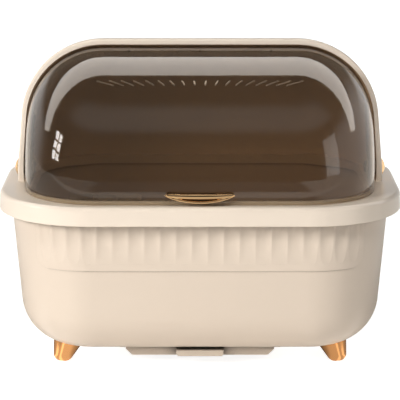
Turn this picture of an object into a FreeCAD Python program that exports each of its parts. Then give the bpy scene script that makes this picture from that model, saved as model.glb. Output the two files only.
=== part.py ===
import FreeCAD, Part
import math
import os
from FreeCAD import Vector

# Covered dish drying box: a deep tub on four feet, a collar that drops over the tub's rim,
# a rear shell on the collar and a smoked lid that rolls back inside the shell.
# Millimetres. +Z is up, the front is -Y, and the origin is on the table under the centre.

# Collar
collar_width = 430.0
collar_depth = 292.0
collar_corner = 101.0
collar_skirt = 20.0
collar_wall = 2.4
collar_top_wall = 2.8
collar_edge_radius = 4.5
collar_foot_radius = 0.8
collar_draft = 2.0
collar_seat = 5.0
lip_wall = 2.2
lip_height = 7.0

# Tub
overhang = 12.0
tub_height = 165.5
tub_wall = 3.0
tub_draft = 4.8
tub_bottom_radius = 52.0
rim_lip = 3.0
rim_lip_thickness = 2.5
drain_slots = 9
drain_slot_width = 3.0
drain_slot_length = 44.0
drain_slot_pitch = 14.0
boss_wall = 3.2
boss_height = 7.0
pad_height = 2.5
pad_wall = 2.6

# Fluted band on the tub's front
panel_proud = 0.9
panel_drop = 71.6
panel_margin = 3.0
panel_corner = 14.0
flute_count = 21
flute_pitch = 16.5
flute_ridge = 0.7
flute_depth = 1.5
flute_fade_depth = 1.2
flute_fade_start = 44.0
flute_drop = 64.0
flute_end_depth = 0.04

# Feet
foot_height = 19.5
foot_side_setback = 30.2
foot_end_setback = 45.6
foot_toe_size = 17.5
foot_flare = 0.76
foot_reach = 9.0
foot_toe_corner = 8.0
foot_toe_radius = 7.0
foot_screw_radius = 1.8
foot_screw_head = 3.6
foot_screw_head_height = 2.4
foot_screw_length = 19.0

# Hood: the inside of the rear shell is a turned form about the pivot axis
hood_side_setback = 21.5
hood_end_setback = 8.0
hood_corner = 84.5
hood_taper = 5.0
pivot_height = 13.0
rim_plane = 16.0
shell_wall = 2.6
rim_proud = 2.4
rim_depth = 8.0
rim_edge_radius = 2.4
tongue_width = 16.0
tongue_thickness = 1.8
tongue_length = 9.0
tongue_side_setback = 78.0
tongue_rear_setback = 108.5

# Vents in the shell
vent_count = 18
vent_side_margin = 84.7
vent_width = 2.2
vent_rise = 8.0
vent_angle = 57.4
vent_fan_drop = 44.0
vent_cut_below = 13.0
vent_cut_above = 7.8

# Lid
hood_gap = 2.2
lid_wall = 2.4
lid_edge = 4.0
lid_edge_height = 5.0
lid_lift = 0.5
lid_rear_overlap = 3.5
lid_rear_aim = 20.0
hub_pad_radius = 16.0
hub_boss_radius = 11.0
hub_boss_height = 1.1
stop_rib_pitch = 76.0
stop_rib_width = 1.6
stop_rib_length = 9.0
stop_rib_depth = 2.2

# Lid handle
handle_half_length = 35.8
handle_top = 14.6
handle_top_sag = 1.2
handle_bottom = 3.6
handle_end_height = 6.2
handle_proud = 8.2
handle_end_proud = 4.2
handle_edge_radius = 1.8
handle_rim_share = 0.75
handle_groove_radius = 3.2
handle_groove_bite = 1.0
handle_groove_reach = 21.0
handle_groove_end_rise = 2.0
handle_groove_drop = 0.6
handle_screw_x = 19.0
handle_screw_rise = 9.4
handle_screw_radius = 1.6
handle_screw_head = 3.2
handle_screw_head_height = 1.8
handle_screw_bite = 3.2

# Pivots
stem_radius = 4.0
cap_radius = 10.0
cap_rise = 6.0
cap_rim = 1.8
cap_seat_height = 0.5
cap_rim_gap = 0.6
cap_boss_radius = 12.0
bush_wall = 1.8
bush_flange = 9.0
bush_flange_thickness = 1.5
bush_end_setback = 0.8
spacer_radius = 8.0
spacer_thickness = 1.2
pivot_screw_head = 7.0
pivot_screw_head_height = 2.4
pivot_screw_radius = 1.6
pivot_screw_bite = 8.0

# Screws: share of a head's height that is rounded, and the room left past a screw's end
screw_crown = 0.6
screw_relief = 1.0

# Buffers under the lid's front edge
buffer_side_setback = 101.5
buffer_length = 14.0
buffer_width = 3.2
buffer_depth = 1.2

# Drip tray and its runners
tray_half_width = 80.0
tray_body_half_width = 73.0
tray_front_setback = 54.0
tray_back_setback = 66.0
tray_height = 8.7
tray_wall = 1.8
tray_front_wall = 2.6
tray_flange = 3.2
tray_flange_thickness = 1.8
tray_flange_setback = 1.0
tray_corner = 6.8
tray_corner_radius = 3.4
tab_half_width = 25.5
tab_depth = 9.0
tab_rise = 0.9
tab_lip = 2.6
tab_scoop = 3.8
tab_scoop_wall = 2.4
tab_edge_radius = 1.2
tab_corner = 3.2
runner_wall = 2.0
runner_foot = 8.0
runner_front_setback = 3.0
runner_screw_radius = 1.5
runner_screw_head = 2.9
runner_screw_head_height = 1.6
runner_screw_length = 9.0
runner_screw_setback = 86.0

# Drain rack
rack_height = 23.0
rack_thickness = 2.4
rack_margin = 3.2
rack_lip_height = 5.0
rack_lip_wall = 2.0
rack_slot_margin = 5.0
rack_slot_width = 6.0
rack_slot_pitch = 13.6
rack_slot_length = 64.0
rack_slot_gap = 9.0
rack_slot_columns = 23
rack_leg_radius = 5.0
rack_leg_side_setback = 85.0
rack_leg_end_setback = 74.0

# Bowl rack
bowl_rim_drop = 34.0
bowl_depth = 28.0
bowl_wall = 2.0
bowl_flange = 8.0
bowl_flange_thickness = 2.4
bowl_front_corner = 66.0
bowl_rear_corner = 14.0
bowl_rear = 4.0
bowl_draft = 4.0
bowl_side_margin = 4.3
bowl_front_margin = 7.0
bowl_slot_length = 34.0
bowl_slot_gap = 9.0
bowl_slot_columns = 21
bowl_slot_margin = 8.0
bowl_corner_least = 1.5
ledge_thickness = 3.0
ledge_length = 16.0
ledge_hold = 5.0
gusset_slope = 2.0
ledge_places = (-26.0, -76.0)

# Plate rack
plate_side_setback = 73.0
plate_rail_spacing = 78.0
plate_rear_setback = 48.0
plate_pitch = 19.0
plate_pins = 5
plate_pin_height = 52.0
plate_pin_root = 3.2
plate_pin_tip = 2.0
plate_rail_width = 8.0
plate_rail_height = 5.0
plate_rail_corner = 2.0
plate_bar_width = 4.8
plate_bar_drop = 1.5

# Cutlery holder
holder_side_setback = 53.0
holder_rear_setback = 44.0
holder_width = 84.0
holder_depth = 44.0
holder_height = 104.0
holder_wall = 1.8
holder_corner = 9.0
holder_rim_radius = 0.8
holder_cells = 3
holder_slot_width = 4.0
holder_slot_height = 58.0
holder_slot_pitch = 8.6
holder_drain_pitch = 9.8

# Clearances
rest_gap = 0.2
seat_gap = 0.3
pin_clearance = 0.06
press_gap = 0.1
tray_gap = 0.3
lip_gap = 0.8

# How far joined forms reach into each other, and how far a cut goes past a face
sink = 1.0

# Derived places
tub_bottom = foot_height
tub_floor = tub_bottom + tub_wall
tub_top = tub_bottom + tub_height
foot_pad_top = tub_floor + pad_height
collar_top = tub_top + rest_gap + collar_top_wall
pivot_z = collar_top + pivot_height
tub_half_width = collar_width / 2 - overhang
tub_half_depth = collar_depth / 2 - overhang
tub_corner = collar_corner - overhang
tub_lean = tub_height * math.tan(math.radians(tub_draft))
foot_outer_x = tub_half_width - tub_lean - foot_side_setback
foot_outer_y = tub_half_depth - tub_lean - foot_end_setback
foot_screw_x = foot_outer_x - foot_toe_size / 2
foot_screw_y = foot_outer_y - foot_toe_size / 2
corner_x = tub_half_width - tub_corner
corner_y = tub_half_depth - tub_corner
hood_half_width = collar_width / 2 - hood_side_setback
hood_radius = collar_depth / 2 - hood_end_setback
tongue_side_y = hood_radius - tongue_side_setback
tongue_rear_x = hood_half_width - tongue_rear_setback
buffer_x = hood_half_width - buffer_side_setback
vent_pitch = 2 * (hood_half_width - vent_side_margin) / (vent_count - 1)
lid_half_width = hood_half_width - hood_gap
lid_radius = hood_radius - hood_gap
lid_base = collar_top + lid_lift
hub_radius = pivot_height - lid_lift
handle_screw_z = collar_top + handle_screw_rise
opening_half_width = lid_half_width - lid_edge - collar_seat
opening_half_depth = tub_half_depth - tub_wall - lip_gap - lip_wall
opening_corner = collar_corner - (collar_width / 2 - opening_half_width) + collar_seat
tray_front = tub_half_depth - tray_front_setback
tray_back = tub_half_depth - tray_back_setback
tray_top = tub_bottom - tray_gap
tray_bottom = tray_top - tray_height
tray_flange_edge = tray_body_half_width + tray_flange
runner_inside = tray_flange_edge + tray_gap
runner_screw_x = runner_inside + runner_wall + runner_foot / 2
runner_screw_y = tub_half_depth - runner_screw_setback
rack_leg_x = tub_half_width - rack_leg_side_setback
rack_leg_y = tub_half_depth - rack_leg_end_setback
plate_rail_x = tub_half_width - plate_side_setback - plate_rail_spacing
plate_back = tub_half_depth - plate_rear_setback
plate_front = plate_back - (plate_pins - 1) * plate_pitch
holder_left = tub_half_width - holder_side_setback
holder_right = holder_left - holder_width
holder_back = tub_half_depth - holder_rear_setback
holder_front = holder_back - holder_depth
rack_level = tub_floor + rack_height
holder_base = rack_level + seat_gap
bowl_rim = collar_top - bowl_rim_drop
bowl_half_width = opening_half_width - bowl_side_margin
bowl_front = opening_half_depth - bowl_front_margin
cap_seat_x = hood_half_width + shell_wall + cap_seat_height
hub_face_x = lid_half_width - lid_edge - hub_boss_height
bush_face_x = hub_face_x - press_gap - bush_flange_thickness
stem_end_x = bush_face_x - seat_gap

FAR = 600.0
NEAR = 0.01


def tan_deg(angle):
    return math.tan(math.radians(angle))


def box(x0, x1, y0, y1, z0, z1):
    return Part.makeBox(x1 - x0, y1 - y0, z1 - z0, Vector(x0, y0, z0))


def post(radius, x, y, z0, z1):
    return Part.makeCylinder(radius, z1 - z0, Vector(x, y, z0))


def cross_rod(radius, x0, x1):
    """Rod along the pivot axis."""
    return Part.makeCylinder(radius, x1 - x0, Vector(x0, 0, pivot_z), Vector(1, 0, 0))


def mirrored(shape):
    return shape.mirror(Vector(0, 0, 0), Vector(1, 0, 0))


def rounded_wire(x0, x1, y0, y1, front_radius, rear_radius, z):
    """Rounded rectangle at height z, with its own corner radius at the front and the rear."""
    corners = ((x1, y1, -1, -1, rear_radius), (x0, y1, 1, -1, rear_radius),
               (x0, y0, 1, 1, front_radius), (x1, y0, -1, 1, front_radius))
    arcs = []
    for i, (x, y, sx, sy, r) in enumerate(corners):
        centre = Vector(x + sx * r, y + sy * r, z)
        on_x = centre - Vector(sx * r, 0, 0)
        on_y = centre - Vector(0, sy * r, 0)
        middle = centre - Vector(sx * r, sy * r, 0) * math.sqrt(0.5)
        arcs.append((on_x, middle, on_y) if i % 2 == 0 else (on_y, middle, on_x))
    edges = []
    for i, (start, middle, end) in enumerate(arcs):
        edges.append(Part.Arc(start, middle, end).toShape())
        edges.append(Part.makeLine(end, arcs[(i + 1) % 4][0]))
    return Part.Wire(edges)


def plan_wire(half_width, half_depth, corner, z):
    return rounded_wire(-half_width, half_width, -half_depth, half_depth, corner, corner, z)


def plan_block(half_width, half_depth, corner, z0, z1):
    """Straight-sided block of a rounded rectangle."""
    face = Part.Face(plan_wire(half_width, half_depth, corner, z0))
    return face.extrude(Vector(0, 0, z1 - z0))


def drafted_block(half_width, half_depth, corner, z0, z1, draft):
    """Block that has the given plan at z1 and narrows down to z0 by the draft angle."""
    inset = (z1 - z0) * tan_deg(draft)
    lower = plan_wire(half_width - inset, half_depth - inset, corner - inset, z0)
    upper = plan_wire(half_width, half_depth, corner, z1)
    return Part.makeLoft([lower, upper], True, True)


def bar_along_y(outline, y0, y1):
    """Straight bar from y0 to y1 with the given outline of x, z pairs."""
    points = [Vector(x, y0, z) for x, z in outline]
    return Part.Face(Part.makePolygon(points + points[:1])).extrude(Vector(0, y1 - y0, 0))


def level_edges(shape, z):
    """Edges that lie wholly at height z."""
    return [e for e in shape.Edges
            if abs(e.BoundBox.ZMin - z) < NEAR and abs(e.BoundBox.ZMax - z) < NEAR]


def lower_ends(shape, z):
    """Edges at height z that run from front to back."""
    return [e for e in level_edges(shape, z) if e.BoundBox.XLength < NEAR]


def wall_inset(z):
    """How far the drafted tub wall stands inside its top plan at height z."""
    return (tub_top - z) * tan_deg(tub_draft)


def tub_form(offset, lift):
    """The tub's form with its rounded bottom edge, grown by offset, its bottom raised by lift."""
    base = tub_bottom + lift
    block = drafted_block(tub_half_width + offset, tub_half_depth + offset, tub_corner + offset,
                          base, tub_top, tub_draft)
    return block.makeFillet(tub_bottom_radius + min(offset, 0.0), level_edges(block, base))


def inner_inset(z):
    """How far the tub's inner wall, with its bottom rounding, stands inside the top plan at z."""
    radius = tub_bottom_radius - tub_wall
    rise = min(z - tub_floor, radius)
    return wall_inset(z) + tub_wall + radius - math.sqrt(radius ** 2 - (radius - rise) ** 2)


def band_place(run, z):
    """Point on the front band at a run along it from the middle, with its outward direction."""
    along = min(abs(run), corner_x)
    side = 1.0 if run >= 0 else -1.0
    turn = (abs(run) - along) / tub_corner
    normal = Vector(side * math.sin(turn), -math.cos(turn), 0)
    centre = Vector(side * along, -corner_y, z)
    return centre + normal * (tub_corner - wall_inset(z) + panel_proud), normal


def flute_section(run, z, depth):
    """Closed outline of one scallop at height z, cut into the band by depth."""
    place, normal = band_place(run, z)
    across = Vector(-normal.y, normal.x, 0) * ((flute_pitch - flute_ridge) / 2)
    left, right = place - across, place + across
    out = normal * (flute_depth * 3)
    return Part.Wire([Part.Arc(left, place - normal * depth, right).toShape(),
                      Part.makeLine(right, right + out),
                      Part.makeLine(right + out, left + out),
                      Part.makeLine(left + out, left)])


def make_band():
    """Raised front panel with rounded lower corners, not yet fluted."""
    half = band_place(flute_pitch * flute_count / 2 + panel_margin, tub_top)[0].x
    low = collar_top - panel_drop
    skin = drafted_block(tub_half_width + panel_proud, tub_half_depth + panel_proud,
                         tub_corner + panel_proud, tub_bottom, tub_top, tub_draft)
    front = box(-half, half, -FAR / 2, -corner_y / 2, low, tub_top - rim_lip_thickness / 2)
    return skin.common(front.makeFillet(panel_corner, lower_ends(front, low)))


def make_flutes():
    """Scallops of even pitch that run on round the corners and fade out downwards."""
    stages = ((tub_top - rim_lip_thickness, flute_depth),
              (collar_top - flute_fade_start, flute_fade_depth),
              (collar_top - flute_drop, flute_end_depth))
    flutes = []
    for i in range(flute_count):
        run = (i - (flute_count - 1) / 2) * flute_pitch
        sections = [flute_section(run, z, depth) for z, depth in stages]
        flutes.append(Part.makeLoft(sections, True, True))
    return flutes


def foot_places():
    return [(x, y) for x in (-foot_screw_x, foot_screw_x) for y in (-foot_screw_y, foot_screw_y)]


def runner_places():
    return [(x, y) for x in (-runner_screw_x, runner_screw_x)
            for y in (-runner_screw_y, runner_screw_y)]


def make_ledges():
    """Gusseted ledges on the inner side walls that carry the bowl rack."""
    top = bowl_rim - bowl_flange_thickness - seat_gap
    under = top - ledge_thickness
    inner = bowl_half_width - ledge_hold
    room = tub_form(-tub_wall / 2, tub_wall / 2)
    ledges = []
    for y in ledge_places:
        start = y - ledge_length / 2
        outline = [(inner, top), (FAR, top), (FAR, under - gusset_slope * (FAR - inner)),
                   (inner, under)]
        ledge = bar_along_y(outline, start, start + ledge_length).common(room)
        ledges += [ledge, mirrored(ledge)]
    return ledges


def make_tub():
    lip = plan_block(tub_half_width + rim_lip, tub_half_depth + rim_lip, tub_corner + rim_lip,
                     tub_top - rim_lip_thickness, tub_top)
    tub = tub_form(0.0, 0.0).fuse([make_band(), lip])
    room = tub_form(-tub_wall, tub_wall)
    tub = tub.cut(room).cut(make_flutes())
    core = tub_form(-tub_wall / 2, tub_wall / 2)
    bosses = [post(runner_screw_radius + boss_wall, x, y, tub_bottom, tub_floor + boss_height)
              for x, y in runner_places()]
    pads = [post(foot_screw_head + pad_wall, x, y, tub_bottom, foot_pad_top)
            for x, y in foot_places()]
    tub = tub.fuse([piece.common(core) for piece in bosses + pads] + make_ledges())
    pilots = [post(runner_screw_radius, x, y, 0, tub_floor + boss_height - tub_wall / 2)
              for x, y in runner_places()]
    head_top = foot_pad_top + foot_screw_head_height
    for x, y in foot_places():
        pilots += [post(foot_screw_radius + press_gap, x, y, 0, head_top),
                   post(foot_screw_head + seat_gap, x, y, foot_pad_top, head_top + sink)]
    drains = []
    for i in range(drain_slots):
        x = (i - (drain_slots - 1) / 2) * drain_slot_pitch
        drains.append(box(x - drain_slot_width / 2, x + drain_slot_width / 2,
                          -drain_slot_length / 2, drain_slot_length / 2, 0, tub_floor + sink))
    return tub.cut(pilots + drains).removeSplitter()


def make_foot(side, end):
    """Foot with upright outer faces and flared inner ones, a rounded toe and a fitted top."""
    height = tub_bottom + foot_reach
    wires = []
    for z in (0.0, height):
        size = foot_toe_size + foot_flare * z
        corner = foot_toe_corner * size / foot_toe_size
        wires.append(rounded_wire(foot_outer_x - size, foot_outer_x, foot_outer_y - size,
                                  foot_outer_y, corner, corner, z))
    leg = Part.makeLoft(wires, True, True)
    leg = leg.makeFillet(foot_toe_radius, level_edges(leg, 0.0))
    pilot_end = foot_pad_top - foot_screw_length - screw_relief
    leg = leg.cut([tub_form(seat_gap, -seat_gap),
                   post(foot_screw_radius, foot_screw_x, foot_screw_y, pilot_end, FAR / 4)])
    leg = max(leg.Solids, key=lambda s: s.Volume)
    if side < 0:
        leg = mirrored(leg)
    return leg if end > 0 else leg.mirror(Vector(0, 0, 0), Vector(0, 1, 0))


def pan_screw(head, head_height, radius, length):
    """Screw along +Z: the crown of its head at 0, the shank up from it."""
    dome = Part.makeCylinder(head, head_height)
    dome = dome.makeFillet(head_height * screw_crown, level_edges(dome, 0.0))
    return dome.fuse(Part.makeCylinder(radius, length)).removeSplitter()


def screw_group(places, z, screw):
    solids = []
    for x, y in places:
        one = screw.copy()
        one.translate(Vector(x, y, z))
        solids.append(one)
    return Part.makeCompound(solids)


def make_foot_screws():
    screw = pan_screw(foot_screw_head, foot_screw_head_height, foot_screw_radius - press_gap,
                      foot_screw_length + foot_screw_head_height)
    screw.rotate(Vector(0, 0, 0), Vector(1, 0, 0), 180)
    return screw_group(foot_places(), foot_pad_top + foot_screw_head_height, screw)


def make_runner_screws():
    screw = pan_screw(runner_screw_head, runner_screw_head_height,
                      runner_screw_radius - press_gap, runner_screw_length)
    head_top = tub_bottom - runner_wall - runner_screw_head_height
    return screw_group(runner_places(), head_top, screw)


def make_runner(side):
    """Rail under the tub: a foot flange, an upright and an inward ledge for the tray's flange."""
    front = -tray_front + tray_front_wall + runner_front_setback
    ledge_top = tray_top - tray_flange_thickness - tray_gap
    ledge = ledge_top - runner_wall
    profile = [(tray_body_half_width + tray_gap, ledge), (runner_inside + runner_wall, ledge),
               (runner_inside + runner_wall, tub_bottom - runner_wall),
               (runner_inside + runner_wall + runner_foot, tub_bottom - runner_wall),
               (runner_inside + runner_wall + runner_foot, tub_bottom),
               (runner_inside, tub_bottom), (runner_inside, ledge_top),
               (tray_body_half_width + tray_gap, ledge_top)]
    rail = bar_along_y(profile, front, tray_back)
    stop = box(tray_body_half_width + tray_gap, runner_inside + runner_wall,
               tray_back, tray_back + runner_wall, ledge, tub_bottom)
    rail = rail.fuse(stop).cut([post(runner_screw_radius + press_gap, runner_screw_x, y, 0, FAR / 4)
                                for y in (-runner_screw_y, runner_screw_y)])
    rail = rail.removeSplitter()
    return rail if side > 0 else mirrored(rail)


def make_tray():
    """Shallow drawer with flanges on the runners, a wide front and a pull tab in its middle."""
    front = -tray_front
    back = tray_back - tray_gap
    body = box(-tray_body_half_width, tray_body_half_width, front, back, tray_bottom, tray_top)
    flange = box(-tray_flange_edge, tray_flange_edge,
                 front + tray_front_wall + tray_flange_setback, back,
                 tray_top - tray_flange_thickness, tray_top)
    outline = [(-tray_half_width, tray_top), (-tray_half_width, tray_bottom + tray_corner),
               (-tray_half_width + tray_corner, tray_bottom),
               (tray_half_width - tray_corner, tray_bottom),
               (tray_half_width, tray_bottom + tray_corner), (tray_half_width, tray_top)]
    plate = bar_along_y(outline, front, front + tray_front_wall)
    plate = plate.makeFillet(tray_corner_radius, lower_ends(plate, tray_bottom))
    hollow = box(-tray_body_half_width + tray_wall, tray_body_half_width - tray_wall,
                 front + tray_front_wall, back - tray_wall, tray_bottom + tray_wall, FAR)
    tray = body.fuse([flange, plate]).cut(hollow)
    lip = front - tab_depth
    tab = box(-tab_half_width, tab_half_width, lip, front + tray_front_wall / 2,
              tray_bottom + tab_rise, tray_top)
    tab = tab.makeFillet(tab_corner, lower_ends(tab, tray_bottom + tab_rise))
    rim = [e for e in tab.Edges if abs(e.BoundBox.YMax - lip) < NEAR]
    tab = tab.makeFillet(tab_edge_radius, rim)
    scoop = box(-tab_half_width + tab_lip, tab_half_width - tab_lip, lip + tab_lip,
                lip + tab_lip + tab_scoop, tray_bottom + tab_rise + tab_scoop_wall, FAR)
    return tray.fuse(tab).cut(scoop).removeSplitter()


def tongue_places():
    """Centre and turn of each tongue under the shell's wall, right side first."""
    middle = shell_wall / 2
    radius = math.hypot(tongue_side_y, pivot_height)
    taper = math.radians(hood_taper)
    x = hood_half_width + middle / math.cos(taper) - radius * math.tan(taper)
    y = math.sqrt((hood_radius + middle) ** 2 - pivot_height ** 2)
    return [(x, tongue_side_y, 90 + hood_taper), (-x, tongue_side_y, 90 - hood_taper),
            (-tongue_rear_x, y, 0), (0, y, 0), (tongue_rear_x, y, 0)]


def tongues(grow):
    """Plates that hang from the shell's lower edge through slots in the collar."""
    plates = []
    for x, y, turn in tongue_places():
        plate = box(-tongue_width / 2 - grow, tongue_width / 2 + grow,
                    -tongue_thickness / 2 - grow, tongue_thickness / 2 + grow,
                    collar_top - tongue_length, collar_top + sink)
        plate.rotate(Vector(0, 0, 0), Vector(0, 0, 1), turn)
        plate.translate(Vector(x, y, 0))
        plates.append(plate)
    return plates


def make_collar():
    """Ring with a rounded top edge, a skirt outside and a locating lip inside the tub."""
    lean = collar_skirt * tan_deg(collar_draft)
    half_width = collar_width / 2 - lean
    half_depth = collar_depth / 2 - lean
    corner = collar_corner - lean
    base = collar_top - collar_skirt
    ring = drafted_block(half_width, half_depth, corner, base, collar_top, -collar_draft)
    ring = ring.makeFillet(collar_edge_radius, level_edges(ring, collar_top))
    ring = ring.makeFillet(collar_foot_radius, level_edges(ring, base))
    under = collar_top - collar_top_wall
    hollow_lean = collar_top_wall * tan_deg(collar_draft) - collar_wall
    hollow = drafted_block(half_width + hollow_lean, half_depth + hollow_lean,
                           corner + hollow_lean, base - sink, under, -collar_draft)
    lip = plan_block(opening_half_width + lip_wall, opening_half_depth + lip_wall,
                     opening_corner + lip_wall, under - lip_height, collar_top - sink)
    opening = plan_block(opening_half_width, opening_half_depth, opening_corner, 0, FAR)
    pockets = [buffer_block(side, press_gap, FAR) for side in (-1, 1)]
    ring = ring.cut(hollow).fuse(lip).cut([opening] + pockets + tongues(press_gap))
    return ring.removeSplitter()


def buffer_block(side, grow, rise):
    y = -math.sqrt(lid_radius ** 2 - hub_radius ** 2) + lid_edge / 2
    return box(side * buffer_x - buffer_length / 2 - grow, side * buffer_x + buffer_length / 2 + grow,
               y - buffer_width / 2 - grow, y + buffer_width / 2 + grow,
               collar_top - buffer_depth, collar_top + rise)


def make_buffers():
    return Part.makeCompound([buffer_block(side, 0.0, rest_gap) for side in (-1, 1)])


def hood_outline(offset, drop):
    """Outline of the hood across its width: flat top, round corners, tapered sides."""
    taper = math.radians(hood_taper)
    half = hood_half_width + offset / math.cos(taper)
    top = hood_radius + offset
    corner = hood_corner + offset
    level = top - corner
    reach = half - level * math.tan(taper) - corner / math.cos(taper)
    middle = math.radians(90 - hood_taper) / 2

    def at(x, rise):
        return Vector(x, 0, pivot_z + rise)

    def side(sign):
        start = at(sign * (reach + corner * math.cos(taper)), level + corner * math.sin(taper))
        bend = at(sign * (reach + corner * math.sin(middle)), level + corner * math.cos(middle))
        return start, bend, at(sign * reach, top)

    left, left_bend, left_top = side(-1)
    right, right_bend, right_top = side(1)
    edges = [Part.makeLine(at(-half, 0), left),
             Part.Arc(left, left_bend, left_top).toShape(),
             Part.makeLine(left_top, right_top),
             Part.Arc(right_top, right_bend, right).toShape(),
             Part.makeLine(right, at(half, 0))]
    if drop > 0:
        edges += [Part.makeLine(at(half, 0), at(half, -drop)),
                  Part.makeLine(at(half, -drop), at(-half, -drop)),
                  Part.makeLine(at(-half, -drop), at(-half, 0))]
    else:
        edges.append(Part.makeLine(at(half, 0), at(-half, 0)))
    return Part.Face(Part.Wire(edges))


def hood_form(offset):
    """Body turned about the pivot axis from the hood's outline grown by offset."""
    return hood_outline(offset, 0).revolve(Vector(0, 0, pivot_z), Vector(1, 0, 0), 360)


def make_vents():
    """A row of slots that fan out from a point below the row."""
    slots = []
    for i in range(vent_count):
        x = (i - (vent_count - 1) / 2) * vent_pitch
        fan = math.atan2(x, vent_fan_drop)
        half = max(vent_rise / math.cos(fan) / 2, vent_width) - vent_width / 2
        w = vent_width / 2
        edges = [Part.Arc(Vector(-w, half, 0), Vector(0, half + w, 0), Vector(w, half, 0)).toShape(),
                 Part.makeLine(Vector(w, half, 0), Vector(w, -half, 0)),
                 Part.Arc(Vector(w, -half, 0), Vector(0, -half - w, 0), Vector(-w, -half, 0)).toShape(),
                 Part.makeLine(Vector(-w, -half, 0), Vector(-w, half, 0))]
        slot = Part.Face(Part.Wire(edges)).extrude(Vector(0, 0, vent_cut_below + vent_cut_above))
        slot.rotate(Vector(0, 0, 0), Vector(0, 0, 1), math.degrees(fan))
        slot.translate(Vector(x, 0, pivot_z + hood_radius - vent_cut_below))
        slot.rotate(Vector(0, 0, pivot_z), Vector(1, 0, 0), -vent_angle)
        slots.append(slot)
    return slots


def make_shell():
    """Rear half of the hood with a proud front rim, vents, pivot seats and tongues."""
    dome = hood_form(shell_wall).common(
        box(-FAR, FAR, -rim_plane + rim_depth / 4, FAR, collar_top, FAR))
    rim = hood_outline(shell_wall + rim_proud, pivot_height).extrude(Vector(0, rim_depth, 0))
    rim.translate(Vector(0, -rim_plane, 0))
    front = [e for e in rim.Edges if e.BoundBox.YMax < -rim_plane + NEAR
             and e.BoundBox.ZMax > collar_top + sink]
    rim = rim.makeFillet(rim_edge_radius, front)
    seat = cross_rod(cap_boss_radius, hood_half_width, cap_seat_x)
    seats = [seat, mirrored(seat)]
    shell = dome.fuse([rim] + seats)
    shell = shell.cut(hood_form(0.0))
    shell = shell.fuse(tongues(0.0))
    recess = cross_rod(cap_radius + cap_rim_gap, cap_seat_x, FAR)
    stem_hole = cross_rod(stem_radius + seat_gap, -FAR / 2, FAR / 2)
    shell = shell.cut(make_vents() + [recess, mirrored(recess), stem_hole])
    return shell.removeSplitter()


def lid_outline(inset):
    """Side outline of the lid: hub, slanting rear edge, level lower edge."""
    radius = hub_radius - inset
    top = Vector(0, -(rim_plane - lid_rear_overlap) - inset,
                 pivot_z + hood_radius + lid_rear_aim)
    hub = Vector(0, 0, pivot_z)
    away = top - hub
    base_angle = math.atan2(away.z, away.y)
    leave = base_angle - math.acos(radius / away.Length)

    def on_hub(angle):
        return hub + Vector(0, math.cos(angle), math.sin(angle)) * radius

    low = on_hub(-math.pi / 2)
    front_low = Vector(0, -FAR / 3, low.z)
    front_top = Vector(0, -FAR / 3, top.z)
    edges = [Part.makeLine(top, on_hub(leave)),
             Part.Arc(on_hub(leave), on_hub((leave - math.pi / 2) / 2), low).toShape(),
             Part.makeLine(low, front_low),
             Part.makeLine(front_low, front_top),
             Part.makeLine(front_top, top)]
    face = Part.Face(Part.Wire(edges))
    face.translate(Vector(-FAR / 2, 0, 0))
    return face.extrude(Vector(FAR, 0, 0))


def make_lid():
    """Thin smoked shell, thicker along its free edges and round its hubs."""
    outside = hood_form(-hood_gap).common(lid_outline(0.0))
    inner_edge = hood_form(-hood_gap - lid_edge)
    hollow = hood_form(-hood_gap - lid_wall).common(lid_outline(lid_edge_height))
    hollow = hollow.cut(cross_rod(hub_pad_radius, -FAR / 2, FAR / 2))
    lid = outside.cut([inner_edge, hollow])
    boss = cross_rod(hub_boss_radius, hub_face_x, hub_face_x + lid_edge / 2)
    ribs = []
    skin = hood_form(-hood_gap - lid_wall / 2).cut(hood_form(-hood_gap - lid_wall - stop_rib_depth))
    for i in (-1, 0, 1):
        x = i * stop_rib_pitch
        rear = -rim_plane + lid_rear_overlap - lid_edge_height / 2
        ribs.append(box(x - stop_rib_width / 2, x + stop_rib_width / 2,
                        rear - stop_rib_length, rear, pivot_z, FAR).common(skin))
    lid = lid.fuse([boss, mirrored(boss)] + ribs)
    holes = [cross_rod(stem_radius + pin_clearance + bush_wall + press_gap, -FAR / 2, FAR / 2)]
    for x in (-handle_screw_x, handle_screw_x):
        holes.append(Part.makeCylinder(handle_screw_radius + press_gap, FAR,
                                       Vector(x, 0, handle_screw_z), Vector(0, -1, 0)))
    return lid.cut(holes).removeSplitter()


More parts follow.
